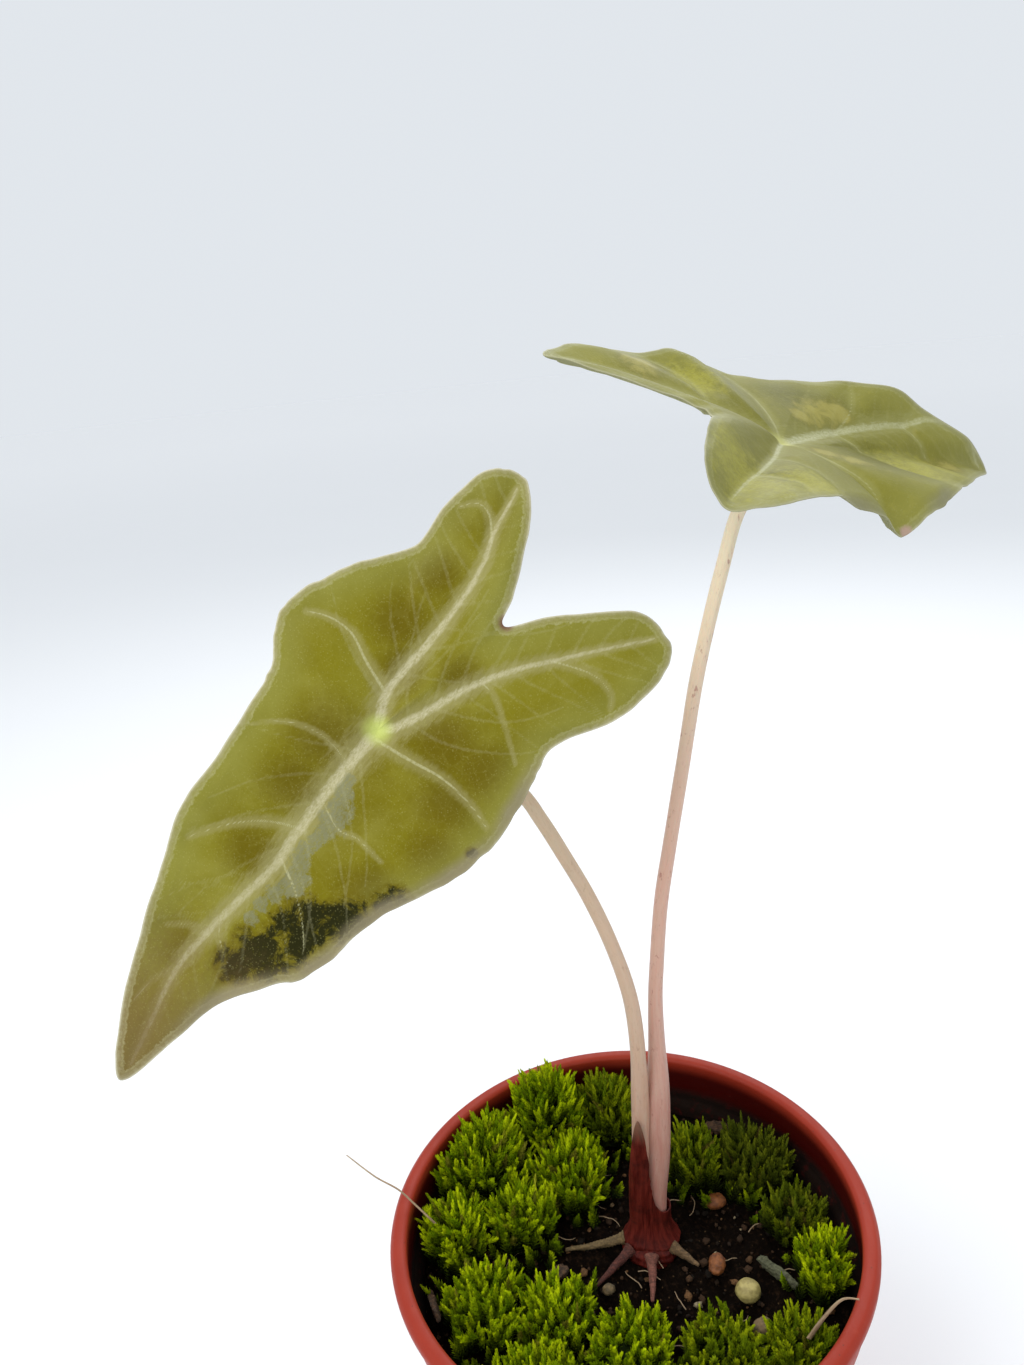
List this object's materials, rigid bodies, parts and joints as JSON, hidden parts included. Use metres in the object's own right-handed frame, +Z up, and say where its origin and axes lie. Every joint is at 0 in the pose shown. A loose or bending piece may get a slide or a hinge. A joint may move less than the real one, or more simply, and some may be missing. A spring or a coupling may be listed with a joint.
{
  "type": "potted alocasia",
  "caption": "Small potted houseplant with arrow-shaped leaves on slim stalks, mossy soil and a tapered plastic nursery pot with drain holes.",
  "frame": {"origin": "centre of the pot's base, on the surface that it stands on", "axes": "+Z up, -Y towards the front, from which the left leaf faces the viewer, and +X to the viewer's right"},
  "size_m": [0.1265, 0.072, 0.1826],
  "materials": {
    "terracotta_plastic": "satin",
    "potting_mix": "matte",
    "leaf_olive": "satin",
    "leaf_grey_green": "satin",
    "stalk_beige": "satin",
    "stalk_pink": "satin",
    "husk": "matte",
    "root": "matte",
    "moss": "matte",
    "bark": "matte",
    "straw": "matte",
    "pale_grain": "satin",
    "rust_grain": "matte",
    "tan_grain": "matte"
  },
  "bodies": {
    "root": {"pot": "terracotta_plastic", "potting_mix": "potting_mix", "corm": "husk", "sheath": "husk", "left_stalk": "stalk_beige", "right_stalk": "stalk_pink", "left_blade": "leaf_olive", "right_blade": "leaf_grey_green", "root_left": "root", "root_right": "root", "root_front_left": "root", "root_front": "root", "root_back": "root", "pale_grain": "pale_grain", "rust_grain_back": "rust_grain", "rust_grain_front": "rust_grain", "tan_grain": "tan_grain", "small_grain": "tan_grain", "twig": "bark", "bark_chip_left": "bark", "bark_chip_back": "bark", "bark_strip": "bark", "dry_strand_left": "straw", "dry_strand_right": "straw", "moss_back_left": "moss", "moss_back": "moss", "moss_behind_stalks": "moss", "moss_mid_left": "moss", "moss_left": "moss", "moss_far_left": "moss", "moss_front_left": "moss", "moss_front_left_inner": "moss", "moss_front_left_low": "moss", "moss_front": "moss", "moss_front_low": "moss", "moss_front_right": "moss", "moss_right_of_stalks": "moss", "moss_back_right": "moss", "moss_right": "moss", "moss_right_front": "moss", "moss_right_low": "moss"}
  },
  "joints": []
}
